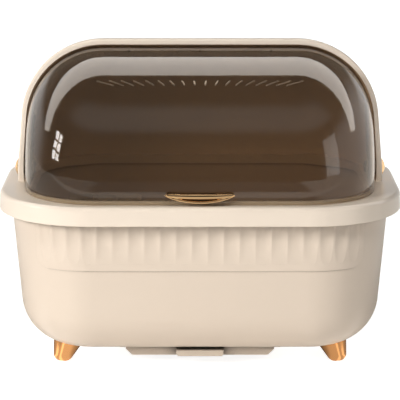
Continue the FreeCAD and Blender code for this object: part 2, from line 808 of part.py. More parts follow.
def make_handle():
    """Crescent pull: flat above, bellied below, bowed outwards, with a groove along its face."""
    top = collar_top + handle_top
    low = collar_top + handle_bottom
    half = handle_half_length
    end_r = handle_end_height / 2

    def at(x, z):
        return Vector(x, 0, z)

    left, right = at(-half + end_r, top), at(half - end_r, top)
    left_low, right_low = at(-half + end_r, top - 2 * end_r), at(half - end_r, top - 2 * end_r)
    face = Part.Face(Part.Wire([
        Part.Arc(left, at(0, top - handle_top_sag), right).toShape(),
        Part.Arc(right, at(half, top - end_r), right_low).toShape(),
        Part.Arc(right_low, at(0, low), left_low).toShape(),
        Part.Arc(left_low, at(-half, top - end_r), left).toShape()]))
    bar = face.extrude(Vector(0, -FAR / 2, 0))
    front = lid_radius + handle_proud
    sag = handle_proud - handle_end_proud
    bow = (half ** 2 + sag ** 2) / (2 * sag)
    bowed = Part.makeCylinder(bow, FAR, Vector(0, bow - front, 0))
    bar = bar.common(bowed).cut(hood_form(-hood_gap + rest_gap))
    bar = max(bar.Solids, key=lambda s: -s.CenterOfMass.y)
    rim_y = -lid_radius - handle_end_proud * handle_rim_share
    bar = bar.makeFillet(handle_edge_radius, [e for e in bar.Edges if e.CenterOfMass.y < rim_y])
    reach = handle_groove_reach
    end_y = bow - front - math.sqrt(bow ** 2 - reach ** 2) - handle_groove_radius
    middle_y = handle_groove_bite - front - handle_groove_radius
    middle_z = (top - handle_top_sag + low) / 2
    end_z = middle_z + handle_groove_end_rise
    path = Part.Arc(Vector(-reach, end_y, end_z),
                    Vector(0, middle_y, middle_z - handle_groove_drop),
                    Vector(reach, end_y, end_z)).toShape()
    start = path.valueAt(path.FirstParameter)
    ring = Part.Wire(Part.makeCircle(handle_groove_radius, start,
                                     path.tangentAt(path.FirstParameter)))
    groove = Part.Wire(path).makePipeShell([ring], True, True)
    bar = bar.cut(groove)
    pilots = [Part.makeCylinder(handle_screw_radius, lid_edge + handle_screw_bite + screw_relief / 2,
                                Vector(x, -lid_radius + lid_edge, handle_screw_z), Vector(0, -1, 0))
              for x in (-handle_screw_x, handle_screw_x)]
    return bar.cut(pilots).removeSplitter()


def make_handle_screws():
    """Two screws from inside the lid into the handle."""
    length = lid_wall + handle_screw_head_height + handle_screw_bite
    screw = pan_screw(handle_screw_head, handle_screw_head_height,
                      handle_screw_radius - press_gap, length)
    screw.rotate(Vector(0, 0, 0), Vector(1, 0, 0), 90)
    rise = handle_screw_z - pivot_z
    inner = math.sqrt((lid_radius - lid_wall) ** 2 - (abs(rise) + handle_screw_head) ** 2)
    solids = []
    for x in (-handle_screw_x, handle_screw_x):
        one = screw.copy()
        one.translate(Vector(x, -inner + seat_gap + handle_screw_head_height, handle_screw_z))
        solids.append(one)
    return Part.makeCompound(solids)


def turned(points):
    """Solid turned about the pivot axis from an outline of x, radius pairs."""
    corners = [Vector(x, 0, pivot_z + r) for x, r in points]
    face = Part.Face(Part.makePolygon(corners + corners[:1]))
    return face.revolve(Vector(0, 0, pivot_z), Vector(1, 0, 0), 360)


def make_cap():
    """Domed cap on a stem that passes through the shell and the lid's bush."""
    crown = cap_seat_x + cap_rise
    rim = cap_seat_x + cap_rim
    rise = crown - rim
    dome = (cap_radius ** 2 + rise ** 2) / (2 * rise)
    half_turn = math.asin(cap_radius / dome) / 2

    def at(x, radius):
        return Vector(x, 0, pivot_z + radius)

    bend = at(crown - dome + dome * math.cos(half_turn), dome * math.sin(half_turn))
    points = [at(crown, 0), at(stem_end_x, 0), at(stem_end_x, stem_radius),
              at(cap_seat_x, stem_radius), at(cap_seat_x, cap_radius), at(rim, cap_radius)]
    edges = [Part.makeLine(start, end) for start, end in zip(points, points[1:])]
    edges.append(Part.Arc(points[-1], bend, points[0]).toShape())
    face = Part.Face(Part.Wire(edges))
    cap = face.revolve(Vector(0, 0, pivot_z), Vector(1, 0, 0), 360)
    return cap.cut(cross_rod(pivot_screw_radius, stem_end_x - sink,
                             stem_end_x + pivot_screw_bite + screw_relief))


def make_bush():
    """Flanged bush in the lid's hub, running on the stem."""
    bore = stem_radius + pin_clearance
    sleeve = bore + bush_wall
    flange_back = bush_face_x + bush_flange_thickness
    end = lid_half_width - bush_end_setback
    return turned([(bush_face_x, bore), (bush_face_x, bush_flange), (flange_back, bush_flange),
                   (flange_back, sleeve), (end, sleeve), (end, bore)])


def make_spacer():
    """Washer on the stem between the lid and the shell."""
    taper = spacer_radius * tan_deg(hood_taper)
    outer = hood_half_width - taper - press_gap
    inner = outer - spacer_thickness
    bore = stem_radius + press_gap
    return turned([(inner, bore), (inner, spacer_radius), (outer, spacer_radius), (outer, bore)])


def make_pivot_screw():
    """Retaining screw in the end of the stem; its wide head keeps the bush in place."""
    head = stem_end_x - pivot_screw_head_height
    shank = pivot_screw_radius - press_gap / 2
    edge = pivot_screw_head - pivot_screw_head_height / 2
    return turned([(head, 0), (head, edge), (head + pivot_screw_head_height / 2, pivot_screw_head),
                   (stem_end_x, pivot_screw_head), (stem_end_x, shank),
                   (stem_end_x + pivot_screw_bite, shank), (stem_end_x + pivot_screw_bite, 0)])


def make_drain_rack():
    """Slotted floor rack with a raised lip, on six legs."""
    under = rack_level - rack_thickness
    inset = inner_inset(under) + rack_margin
    half_width, half_depth = tub_half_width - inset, tub_half_depth - inset
    corner = tub_corner - inset
    rack = plan_block(half_width, half_depth, corner, under, rack_level + rack_lip_height)
    rack = rack.cut(plan_block(half_width - rack_lip_wall, half_depth - rack_lip_wall,
                               corner - rack_lip_wall, rack_level, FAR))
    legs = [post(rack_leg_radius, x, y, tub_floor + seat_gap, rack_level - rack_thickness / 2)
            for x in (-rack_leg_x, 0, rack_leg_x) for y in (-rack_leg_y, rack_leg_y)]
    slots = []
    field = plan_block(half_width - rack_slot_margin, half_depth - rack_slot_margin,
                       corner - rack_slot_margin, 0, FAR)
    for i in range(rack_slot_columns):
        x = (i - (rack_slot_columns - 1) / 2) * rack_slot_pitch
        for y in (-rack_slot_length - rack_slot_gap, 0, rack_slot_length + rack_slot_gap):
            y0 = y - rack_slot_length / 2
            slots.append(box(x - rack_slot_width / 2, x + rack_slot_width / 2,
                             y0, y0 + rack_slot_length, under - sink, rack_level + sink))
    slots = Part.makeCompound(slots).common(field)
    return rack.cut(slots).fuse(legs).removeSplitter()


def bowl_block(inset, z0, z1):
    """Drafted block of the bowl rack's plan at its rim, drawn in by inset."""
    wires = []
    for z in (z0, z1):
        lean = inset + (bowl_rim - z) * tan_deg(bowl_draft)
        wires.append(rounded_wire(-bowl_half_width + lean, bowl_half_width - lean,
                                  -bowl_front + lean, -bowl_rear - lean,
                                  bowl_front_corner - lean,
                                  max(bowl_rear_corner - lean, bowl_corner_least), z))
    return Part.makeLoft(wires, True, True)


def make_bowl_rack():
    """Slotted basket for bowls that hangs by its flange on the tub's ledges."""
    base = bowl_rim - bowl_depth
    flange = Part.Face(rounded_wire(-bowl_half_width, bowl_half_width, -bowl_front, -bowl_rear,
                                    bowl_front_corner, bowl_rear_corner,
                                    bowl_rim - bowl_flange_thickness))
    flange = flange.extrude(Vector(0, 0, bowl_flange_thickness))
    rack = bowl_block(bowl_flange, base, bowl_rim).fuse(flange)
    rack = rack.cut(bowl_block(bowl_flange + bowl_wall, base + bowl_wall, bowl_rim + NEAR))
    middle = -(bowl_front + bowl_rear) / 2
    field = bowl_block(bowl_flange + bowl_slot_margin, base - sink, bowl_rim)
    slots = []
    for i in range(bowl_slot_columns):
        x = (i - (bowl_slot_columns - 1) / 2) * rack_slot_pitch
        for side in (-1, 1):
            y = middle + side * (bowl_slot_length + bowl_slot_gap) / 2
            slots.append(box(x - rack_slot_width / 2, x + rack_slot_width / 2,
                             y - bowl_slot_length / 2, y + bowl_slot_length / 2,
                             base - sink, base + bowl_wall + sink))
    return rack.cut(Part.makeCompound(slots).common(field)).removeSplitter()


def make_plate_rack():
    """Two rails with tapered pins that hold plates on edge, tied by three cross bars."""
    base = rack_level + seat_gap
    top = base + plate_rail_height
    half = plate_rail_width / 2
    bar = plate_bar_width / 2
    pieces = []
    for x in (plate_rail_x, plate_rail_x + plate_rail_spacing):
        rail = box(x - half, x + half, plate_front - half, plate_back + half, base, top)
        upright = [e for e in rail.Edges if e.BoundBox.ZLength > sink]
        pieces.append(rail.makeFillet(plate_rail_corner, upright))
        for i in range(plate_pins):
            y = plate_front + i * plate_pitch
            pieces.append(Part.makeCone(plate_pin_root, plate_pin_tip, plate_pin_height,
                                        Vector(x, y, top - sink)))
    for y in (plate_front, (plate_front + plate_back) / 2, plate_back):
        pieces.append(box(plate_rail_x, plate_rail_x + plate_rail_spacing,
                          y - bar, y + bar, base, top - plate_bar_drop))
    return pieces[0].multiFuse(pieces[1:]).removeSplitter()


def make_cutlery_holder():
    """Tall three-cell holder with slotted walls and a pierced floor."""
    top = holder_base + holder_height
    outer = Part.Face(rounded_wire(-holder_left, -holder_right, holder_front, holder_back,
                                   holder_corner, holder_corner, holder_base))
    holder = outer.extrude(Vector(0, 0, holder_height))
    cell = (holder_width - (holder_cells + 1) * holder_wall) / holder_cells
    inner_corner = holder_corner - holder_wall
    cells = []
    cuts = []
    for i in range(holder_cells):
        x0 = -holder_left + holder_wall + i * (cell + holder_wall)
        well = Part.Face(rounded_wire(x0, x0 + cell, holder_front + holder_wall,
                                      holder_back - holder_wall, inner_corner, inner_corner,
                                      holder_base + holder_wall))
        cells.append(well.extrude(Vector(0, 0, holder_height)))
        for j in (-1, 1):
            x = x0 + cell / 2 + j * holder_slot_pitch / 2
            low = holder_base + (holder_height - holder_slot_height) / 2
            cuts.append(box(x - holder_slot_width / 2, x + holder_slot_width / 2,
                            holder_front - sink, holder_back + sink,
                            low, low + holder_slot_height))
        for j in (-1, 0, 1):
            y = (holder_front + holder_back) / 2 + j * holder_drain_pitch
            cuts.append(post(holder_slot_width / 2, x0 + cell / 2, y,
                             holder_base - sink, holder_base + holder_wall + sink))
    holder = holder.makeFillet(holder_rim_radius, level_edges(holder, top))
    return holder.cut(cells + cuts).removeSplitter()


def make_pieces():
    """Every piece of the box under its own name."""
    pieces = {
        "tub": make_tub(),
        "collar": make_collar(),
        "lid_buffers": make_buffers(),
        "rear_shell": make_shell(),
        "front_lid": make_lid(),
        "lid_handle": make_handle(),
        "handle_screws": make_handle_screws(),
        "foot_screws": make_foot_screws(),
        "runner_screws": make_runner_screws(),
        "drip_tray": make_tray(),
        "drain_rack": make_drain_rack(),
        "bowl_rack": make_bowl_rack(),
        "plate_rack": make_plate_rack(),
        "cutlery_holder": make_cutlery_holder(),
    }
    paired = {"pivot_cap": make_cap(), "lid_bush": make_bush(), "pivot_spacer": make_spacer(),
              "pivot_screw": make_pivot_screw()}
    for name, right in paired.items():
        pieces[name + "_right"] = right
        pieces[name + "_left"] = mirrored(right)
    for side, side_name in ((-1, "left"), (1, "right")):
        pieces["tray_runner_" + side_name] = make_runner(side)
        for end, end_name in ((-1, "front"), (1, "rear")):
            pieces["foot_" + end_name + "_" + side_name] = make_foot(side, end)
    return pieces


def main():
    os.makedirs("parts", exist_ok=True)
    for name, shape in make_pieces().items():
        shape.exportStep("parts/" + name + ".step")
        print(name, "solids", len(shape.Solids), "valid", shape.isValid(),
              "cm3", round(shape.Volume / 1000, 2))


main()
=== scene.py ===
"""Looks of a covered dish drying box, laid out as a Blender add-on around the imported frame."""

import math

import bpy
from bpy.props import FloatProperty, FloatVectorProperty, IntProperty, PointerProperty
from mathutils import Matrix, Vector


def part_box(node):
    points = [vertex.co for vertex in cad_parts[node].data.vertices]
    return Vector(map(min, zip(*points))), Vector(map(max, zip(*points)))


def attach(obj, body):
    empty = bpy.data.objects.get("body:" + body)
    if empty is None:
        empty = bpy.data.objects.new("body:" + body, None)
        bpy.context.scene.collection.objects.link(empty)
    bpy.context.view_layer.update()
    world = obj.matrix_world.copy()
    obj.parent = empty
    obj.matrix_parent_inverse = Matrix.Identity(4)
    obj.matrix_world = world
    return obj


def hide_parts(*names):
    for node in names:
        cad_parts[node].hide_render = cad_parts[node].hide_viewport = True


bl_info = {
    "name": "Dish Drying Box",
    "version": (1, 0, 0),
    "blender": (4, 5, 0),
    "location": "3D View > Sidebar > Drying Box",
    "description": "Dresses the packed dish drying box and its studio",
    "category": "Object",
}

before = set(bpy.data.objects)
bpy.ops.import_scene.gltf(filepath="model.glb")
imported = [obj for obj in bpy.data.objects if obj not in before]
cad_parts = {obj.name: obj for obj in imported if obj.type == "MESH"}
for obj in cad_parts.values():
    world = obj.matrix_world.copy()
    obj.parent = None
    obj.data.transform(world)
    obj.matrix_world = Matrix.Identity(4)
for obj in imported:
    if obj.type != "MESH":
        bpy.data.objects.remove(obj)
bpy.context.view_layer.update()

COLLAR_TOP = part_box("collar")[1].z

# Plastics and plating
NOISE_SPREAD = (0.3, 0.7)       # where most of a noise's values lie
PLASTIC_IOR = 1.48
LID_IOR = 1.49
GRAIN_SCALE = 1800.0
GRAIN_DISTANCE = 0.00002
# Painted shade in creases, darkened where ambient occlusion finds a facing surface
CREASE_SAMPLES = 8
CREASE_REACH = 0.016            # how near a facing surface has to be
CREASE_OPENNESS = (0.5, 0.93)   # darkest up to the first, not darkened from the second on
CREASE_PAINTED_SHADE = 0.3              # share of the colour at the darkest
# Lid's edge band: rougher as a frosted edge, paler and less see-through as painted highlight
EDGE_BAND = 0.0055              # width of the paler band along the lid's lower and rear edges
EDGE_OPACITY = 0.45
EDGE_ROUGHNESS = 0.25
LID_HAZE = 0.015                # greatest roughness of the lid away from its edges
POLISHED = 0.055                # roughness of the rose-gold plating
# Painted shade on the plating behind the pull's lips
RECESS_PAINTED_SHADE = 0.22             # share of the plating's colour behind the pull's lips
RECESS_SHADE_FADE = 0.0008            # depth over which it darkens

# Shape of the lid's pull
WELD = 0.00001
WEB_WIDTH = 0.985               # the web between the lips, against the CAD pull
WEB_HEIGHT = 0.94
LOWER_LIP_WIDTH = 0.93          # against the upper lip
# Where the painted shade behind the lips begins
RECESS_SHADE_START = 0.8              # depth behind the lips' front at which it darkens, in prouds
LIP_RINGS = 28
LIP_SIDES = 24
LIP_BLUNTNESS = 8               # a higher power keeps the lip full for longer
LIP_END = 0.12                  # least thickness at its ends, against the middle
LIP_TAPER = 0.12

# Stage, in metres from the middle of the box, or as parts of a direction of length 1
SENSOR_WIDTH = 36.0
FLOOR_SIZE = 12.0
FLOOR_ROUGHNESS = 0.6
WARM = (1, 0.98, 0.95)
NEAR_WHITE = 0.84               # how white the camera sees the floor close to the box
NEAR_END = 2.5                  # where it is fully white, in glow radii
SIDE_RAMP = (0.15, 0.6)
LEFT_SHARE = 0.7                # of the side level
REAR_RAMP = (0.2, 0.8)
BAND_START = (-0.72, -0.84)
BAND_END = (-1.25, -1.1)
FOOT_GLOW_FADE = (0.55, 0.8)    # in glow radii
GLOW_TINT = (1.0, 0.96, 0.9, 1)
# Angle about the foot in degrees, from straight ahead outward, and brightness there
FOOT_STOPS = (
    (-110, 0.08), (-45, 0.3), (-20, 0.5), (20, 0.54), (25, 1.0), (36, 1.0),
    (41, 0.5), (60, 0.5), (65, 1.0), (82, 1.0), (92, 0.42), (125, 0.2))
FOOT_SPLIT = 0.05               # the left foot's level becomes the right's within this of x 0
RIGHT_FOOT_SHARE = 0.72         # of the foot level
# Where the surround begins and ends to brighten in reflections, behind, beside and ahead
BEHIND_Y, BEHIND_Z = (0.0, 0.5), (0.36, 0.2)
BESIDE_X, BESIDE_Z = (0.5, 0.9), (0.65, 0.4)
AHEAD_Y, AHEAD_Z, AHEAD_TOP = (-0.1, -0.4), (0.62, 0.75), (0.97, 0.88)
WINDOW_PLACE = (-2.16, -0.7, 0.91)
PANE_SIZE = (0.2, 0.22)
PANE_PITCH = (0.27, 0.28)
PANES = 6


def linear(colour):
    """Linear value of a display colour given as 0 to 255 numbers."""
    out = []
    for value in colour:
        c = value / 255
        out.append(c / 12.92 if c <= 0.04045 else ((c + 0.055) / 1.055) ** 2.4)
    return tuple(out)


class StudioSettings(bpy.types.PropertyGroup):
    """Camera, lamps and floor."""

    lens: FloatProperty(name="Lens", description="Focal length on a 36 mm sensor", default=171.0)
    camera_distance: FloatProperty(
        name="Camera distance", description="From the pivot axis", default=2.04, unit="LENGTH")
    camera_rise: FloatProperty(
        name="Camera rise", description="Above the collar's top", default=0.437, unit="LENGTH")
    camera_pitch: FloatProperty(
        name="Camera pitch", description="Downward tilt", default=math.radians(12.75),
        subtype="ANGLE")
    key_power: FloatProperty(
        name="Key power", description="Soft lamp at the upper left front", default=38.0,
        subtype="POWER")
    high_power: FloatProperty(
        name="High power", description="Soft lamp high in front", default=21.0, subtype="POWER")
    rear_power: FloatProperty(
        name="Rear power", description="Soft lamp behind, for the back of the shell",
        default=12.0, subtype="POWER")
    window_power: FloatProperty(
        name="Window power", description="Small bright panes that show in the lid's left corner",
        default=11.0, subtype="POWER")
    strip_power: FloatProperty(
        name="Strip power", description="Long panel overhead that shows along the lid's top",
        default=100.0, subtype="POWER")
    panel_power: FloatProperty(
        name="Panel power", description="Dim panel that shows in the lid's right corner",
        default=4.0, subtype="POWER")
    world_level: FloatProperty(
        name="World level", description="Strength of the even surrounding light", default=0.03)
    side_level: FloatProperty(
        name="Side level", description="Floor and surround beside and behind, in reflections only",
        default=1.05)
    band_level: FloatProperty(
        name="Band level", description="Bright band of floor in front, in reflections only",
        default=1.3)
    front_level: FloatProperty(
        name="Front level", description="Pale surround high in front, in reflections only",
        default=0.55)
    bounce_level: FloatProperty(
        name="Bounce level", description="Light that the white floor adds from below",
        default=0.22)
    glow_level: FloatProperty(
        name="Glow level", description="Least brightness of the floor in reflections",
        default=0.4)
    foot_level: FloatProperty(
        name="Foot level", description="Striped floor round the feet, in reflections only",
        default=1.7)
    glow_radius: FloatProperty(
        name="Glow radius", description="Reach of the striped floor and of the camera's greyer one",
        default=0.55, unit="LENGTH")
    floor_colour: FloatVectorProperty(
        name="Floor colour", description="Light that the floor throws back", subtype="COLOR",
        default=linear((247, 246, 244)))


class FinishSettings(bpy.types.PropertyGroup):
    """Colours of the box's finishes."""

    tub_cream: FloatVectorProperty(
        name="Tub cream", description="Moulded tub plastic", subtype="COLOR",
        default=linear((233, 217, 200)))
    cover_cream: FloatVectorProperty(
        name="Cover cream", description="Collar and shell plastic", subtype="COLOR",
        default=linear((243, 229, 213)))
    rack_cream: FloatVectorProperty(
        name="Rack cream", description="Inner racks and holder", subtype="COLOR",
        default=linear((232, 222, 206)))
    smoke: FloatVectorProperty(
        name="Smoke", description="Tint of the lid", subtype="COLOR",
        default=linear((166, 152, 135)))
    # Paler edge colour: painted highlight where the lid's edges catch light
    lid_edge_highlight: FloatVectorProperty(
        name="Lid edge", description="Paler edge of the smoked lid", subtype="COLOR",
        default=linear((186, 168, 140)))
    rose_gold: FloatVectorProperty(
        name="Rose gold", description="Plated pull and pivot caps", subtype="COLOR",
        default=linear((252, 210, 158)))
    foot_gold: FloatVectorProperty(
        name="Foot gold", description="Plated feet", subtype="COLOR",
        default=linear((246, 178, 116)))


def box_settings():
    """The add-on's settings in this scene."""
    return bpy.context.scene.drying_box


def new_material(name):
    """Empty node material and its tree."""
    material = bpy.data.materials.new(name)
    material.use_nodes = True
    material.node_tree.nodes.clear()
    return material, material.node_tree


def maths(tree, operation, first, second):
    """Math node fed by sockets or plain numbers."""
    made = tree.nodes.new("ShaderNodeMath")
    made.operation = operation
    for socket, value in zip(made.inputs, (first, second)):
        if isinstance(value, (int, float)):
            socket.default_value = value
        else:
            tree.links.new(value, socket)
    return made.outputs[0]


def ramped(tree, value, start, end, low=0.0, high=1.0, even=False):
    """Value that goes from low to high between start and end, smoothly or evenly."""
    made = tree.nodes.new("ShaderNodeMapRange")
    made.interpolation_type = "LINEAR" if even else "SMOOTHSTEP"
    made.inputs["From Min"].default_value = start
    made.inputs["From Max"].default_value = end
    made.inputs["To Min"].default_value = low
    made.inputs["To Max"].default_value = high
    tree.links.new(value, made.inputs["Value"])
    return made.outputs["Result"]


def greatest(tree, first, second, *others):
    """The greatest of several sockets or numbers."""
    made = maths(tree, "MAXIMUM", first, second)
    for other in others:
        made = maths(tree, "MAXIMUM", made, other)
    return made


def blended(tree, factor, first, second):
    """First colour at factor 0, the second at factor 1."""
    made = tree.nodes.new("ShaderNodeMix")
    made.data_type = "RGBA"
    tree.links.new(factor, made.inputs["Factor"])
    tree.links.new(first, made.inputs["A"])
    made.inputs["B"].default_value = tuple(second) + (1,)
    return made.outputs["Result"]


def axes(tree, output):
    """X, Y and Z sockets of a texture coordinate."""
    place = tree.nodes.new("ShaderNodeTexCoord")
    split = tree.nodes.new("ShaderNodeSeparateXYZ")
    tree.links.new(place.outputs[output], split.inputs[0])
    return split.outputs


def object_noise(tree, scale, detail):
    """Noise on the piece's own coordinates."""
    place = tree.nodes.new("ShaderNodeTexCoord")
    noise = tree.nodes.new("ShaderNodeTexNoise")
    noise.inputs["Scale"].default_value = scale
    noise.inputs["Detail"].default_value = detail
    tree.links.new(place.outputs["Object"], noise.inputs["Vector"])
    return noise


def colour_drift(tree, colour, noise, amount):
    """Colour that drifts a little lighter and darker with the noise."""
    ramp = tree.nodes.new("ShaderNodeValToRGB")
    darker, lighter = ramp.color_ramp.elements
    darker.position, lighter.position = NOISE_SPREAD
    darker.color = [c * (1 - amount) for c in colour] + [1]
    lighter.color = [min(c * (1 + amount), 1) for c in colour] + [1]
    tree.links.new(noise.outputs["Fac"], ramp.inputs["Fac"])
    return ramp


def drifting(tree, value, noise, amount):
    """Value that drifts a little up and down with the noise."""
    made = tree.nodes.new("ShaderNodeMapRange")
    made.inputs["To Min"].default_value = value * (1 - amount)
    made.inputs["To Max"].default_value = value * (1 + amount)
    tree.links.new(noise.outputs["Fac"], made.inputs["Value"])
    return made.outputs["Result"]


def fine_bump(tree, scale, strength, distance):
    """Fine grain for a surface's normal."""
    grain = object_noise(tree, scale, detail=3.0)
    bump = tree.nodes.new("ShaderNodeBump")
    bump.inputs["Strength"].default_value = strength
    bump.inputs["Distance"].default_value = distance
    tree.links.new(grain.outputs["Fac"], bump.inputs["Height"])
    return bump


def finish_surface(tree, shader):
    """Sends the shader to the material's surface."""
    out = tree.nodes.new("ShaderNodeOutputMaterial")
    tree.links.new(shader.outputs[0], out.inputs["Surface"])


def moulded_plastic(name, colour, roughness, grain, painted_crease_shade=0.0):
    """Opaque moulded plastic: slight drift of colour and gloss, fine grain, painted shade in
    creases.
    """
    material, tree = new_material(name)
    shader = tree.nodes.new("ShaderNodeBsdfPrincipled")
    shader.inputs["IOR"].default_value = PLASTIC_IOR
    drift = object_noise(tree, scale=9.0, detail=2.0)
    tint = colour_drift(tree, colour, drift, amount=0.006)
    tone = tint.outputs["Color"]
    # Painted shade: ambient occlusion darkens the colour in creases; the plastic itself is no
    # darker there
    if painted_crease_shade:
        crease_occlusion = tree.nodes.new("ShaderNodeAmbientOcclusion")
        crease_occlusion.samples = CREASE_SAMPLES
        crease_occlusion.inputs["Distance"].default_value = CREASE_REACH
        crease_shade_factor = ramped(tree, crease_occlusion.outputs["AO"], *CREASE_OPENNESS, painted_crease_shade, 0.0)
        tone = blended(tree, crease_shade_factor, tone, [c * CREASE_PAINTED_SHADE for c in colour])
    tree.links.new(tone, shader.inputs["Base Color"])
    gloss = object_noise(tree, scale=40.0, detail=4.0)
    tree.links.new(drifting(tree, roughness, gloss, amount=0.04), shader.inputs["Roughness"])
    bump = fine_bump(tree, GRAIN_SCALE, grain, GRAIN_DISTANCE)
    tree.links.new(bump.outputs["Normal"], shader.inputs["Normal"])
    finish_surface(tree, shader)
    return material


def smoked_plastic(name, colour, edge_highlight_colour):
    """See-through smoked plastic, polished, with rougher, paler edge bands: partly frosted edges,
    partly painted highlight where the edges catch the light.
    """
    material, tree = new_material(name)
    shader = tree.nodes.new("ShaderNodeBsdfPrincipled")
    shader.inputs["IOR"].default_value = LID_IOR
    shader.inputs["Transmission Weight"].default_value = 1.0
    low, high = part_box("front_lid")
    _, y, z = axes(tree, "Object")
    # Band along the lower and rear edges: rougher as a frosted edge, paler as painted highlight
    foot = ramped(tree, z, low.z + EDGE_BAND, low.z + EDGE_BAND * 0.6)
    rear = ramped(tree, y, high.y - EDGE_BAND, high.y - EDGE_BAND * 0.5)
    edge = maths(tree, "MAXIMUM", foot, rear)
    drift = object_noise(tree, scale=6.0, detail=2.0)
    tint = colour_drift(tree, colour, drift, amount=0.01)
    tree.links.new(blended(tree, edge, tint.outputs["Color"], edge_highlight_colour),
                   shader.inputs["Base Color"])
    tree.links.new(maths(tree, "SUBTRACT", 1.0, maths(tree, "MULTIPLY", edge, EDGE_OPACITY)),
                   shader.inputs["Transmission Weight"])
    cloud = object_noise(tree, scale=30.0, detail=3.0)
    haze = ramped(tree, cloud.outputs["Fac"], *NOISE_SPREAD, 0.0, LID_HAZE)
    tree.links.new(maths(tree, "ADD", haze, maths(tree, "MULTIPLY", edge, EDGE_ROUGHNESS)),
                   shader.inputs["Roughness"])
    clear = tree.nodes.new("ShaderNodeBsdfTransparent")
    tree.links.new(tint.outputs["Color"], clear.inputs["Color"])
    path = tree.nodes.new("ShaderNodeLightPath")
    mix = tree.nodes.new("ShaderNodeMixShader")
    tree.links.new(path.outputs["Is Shadow Ray"], mix.inputs["Fac"])
    tree.links.new(shader.outputs[0], mix.inputs[1])
    tree.links.new(clear.outputs[0], mix.inputs[2])
    finish_surface(tree, mix)
    return material


def plated_metal(name, colour, roughness, painted_shade_from=None):
    """Polished plating with faint hazing, darkened by painted shade behind the given depth where
    one is given.
    """
    material, tree = new_material(name)
    shader = tree.nodes.new("ShaderNodeBsdfPrincipled")
    shader.inputs["Metallic"].default_value = 1.0
    drift = object_noise(tree, scale=60.0, detail=2.0)
    tint = colour_drift(tree, colour, drift, amount=0.02)
    tone = tint.outputs["Color"]
    # Painted shade: the plating darkens behind the given depth, where the lips hide the web
    if painted_shade_from is not None:
        _, y, _ = axes(tree, "Object")
        depth = ramped(tree, y, painted_shade_from, painted_shade_from + RECESS_SHADE_FADE)
        tone = blended(tree, depth, tone, [c * RECESS_PAINTED_SHADE for c in colour])
    tree.links.new(tone, shader.inputs["Base Color"])
    haze = object_noise(tree, scale=120.0, detail=4.0)
    tree.links.new(drifting(tree, roughness, haze, amount=0.3), shader.inputs["Roughness"])
    finish_surface(tree, shader)
    return material


def dress(material, *nodes):
    """Gives the material to CAD nodes that are carried over."""
    for name in nodes:
        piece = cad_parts[name]
        piece.data.materials.clear()
        piece.data.materials.append(material)


def copied(node, name):
    """Copy of a CAD node with its own mesh, the only thing selected."""
    bpy.ops.object.select_all(action="DESELECT")
    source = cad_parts[node]
    piece = bpy.data.objects.new(name, source.data.copy())
    piece.matrix_world = source.matrix_world
    bpy.context.collection.objects.link(piece)
    piece.select_set(True)
    bpy.context.view_layer.objects.active = piece
    return piece


def soft_lamp(name, place, aim, size, power, colour):
    """Rectangular soft lamp of that width and height that faces a point."""
    data = bpy.data.lights.new(name, "AREA")
    data.shape = "RECTANGLE"
    data.size, data.size_y = size
    data.energy = power
    data.color = colour
    lamp = bpy.data.objects.new(name, data)
    lamp.location = place
    lamp.rotation_euler = (Vector(aim) - Vector(place)).to_track_quat("-Z", "Y").to_euler()
    bpy.context.collection.objects.link(lamp)
    return lamp


class DRYBOX_OT_finishes(bpy.types.Operator):
    """Give every carried-over piece its finish"""

    bl_idname = "drybox.finishes"
    bl_label = "Finishes"

    def execute(self, context):
        """Makes the finishes and gives them out."""
        finish = box_settings().finish
        # The tub gets painted shade in its creases, such as under the collar
        tub = moulded_plastic(
            "tub_cream", tuple(finish.tub_cream), roughness=0.3, grain=0.12, painted_crease_shade=0.9)
        cover = moulded_plastic(
            "cover_cream", tuple(finish.cover_cream), roughness=0.28, grain=0.1)
        rack = moulded_plastic("rack_cream", tuple(finish.rack_cream), roughness=0.42, grain=0.3)
        gold = plated_metal("rose_gold", tuple(finish.rose_gold), POLISHED)
        foot = plated_metal("foot_gold", tuple(finish.foot_gold), roughness=0.09)
        steel = plated_metal("screw_steel", linear((170, 170, 172)), roughness=0.3)
        rubber = moulded_plastic(
            "buffer_rubber", linear((190, 180, 165)), roughness=0.6, grain=0.4)
        nylon = moulded_plastic("bush_nylon", linear((205, 196, 180)), roughness=0.45, grain=0.2)
        dress(tub, "tub", "tray_runner_left", "tray_runner_right", "drip_tray")
        dress(cover, "collar", "rear_shell")
        dress(rack, "drain_rack", "bowl_rack", "plate_rack", "cutlery_holder")
        dress(gold, "lid_handle", "pivot_cap_left", "pivot_cap_right")
        dress(foot, "foot_front_left", "foot_front_right", "foot_rear_left", "foot_rear_right")
        dress(steel, "foot_screws", "runner_screws", "handle_screws", "pivot_screw_left",
              "pivot_screw_right")
        dress(rubber, "lid_buffers")
        dress(nylon, "lid_bush_left", "lid_bush_right", "pivot_spacer_left",
              "pivot_spacer_right")
        dress(smoked_plastic("smoked_lid", tuple(finish.smoke), tuple(finish.lid_edge_highlight)),
              "front_lid")
        return {"FINISHED"}


